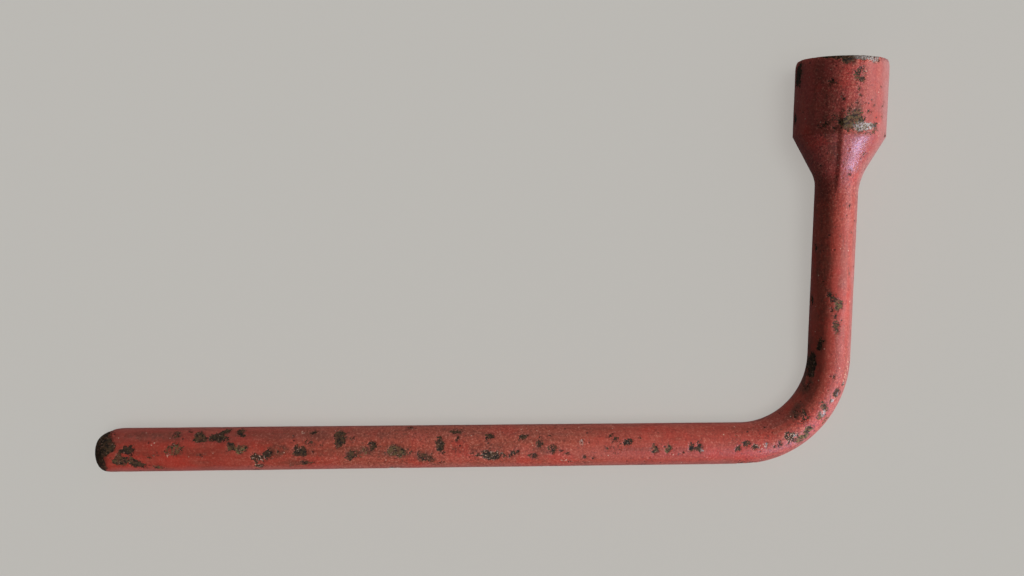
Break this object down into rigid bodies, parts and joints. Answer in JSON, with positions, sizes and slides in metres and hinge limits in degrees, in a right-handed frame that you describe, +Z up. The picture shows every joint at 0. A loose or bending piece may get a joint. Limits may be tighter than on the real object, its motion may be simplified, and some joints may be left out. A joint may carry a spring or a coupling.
{
  "type": "lug wrench",
  "caption": "L-shaped lug wrench: a round steel bar bent to a right angle, with a forged hexagon socket on its short arm, painted red.",
  "frame": {"origin": "on the ground, under the middle of the whole wrench's bounding box", "axes": "+X along the handle, from its free end towards the bend; +Y the way the short arm points, towards the socket's mouth; +Z up, with the wrench lying on the ground on its handle and on the socket's shoulder"},
  "size_m": [0.3508, 0.1858, 0.0426],
  "materials": {
    "bar_paint": "chipped semi-gloss red paint over dark steel",
    "weld_paint": "semi-gloss red paint over a dressed weld",
    "socket_paint": "semi-gloss red paint, worn to steel at the rim and the shoulder"
  },
  "bodies": {
    "root": {"handle_bar": "bar_paint", "weld_ring": "weld_paint", "socket_head": "socket_paint"}
  },
  "joints": []
}
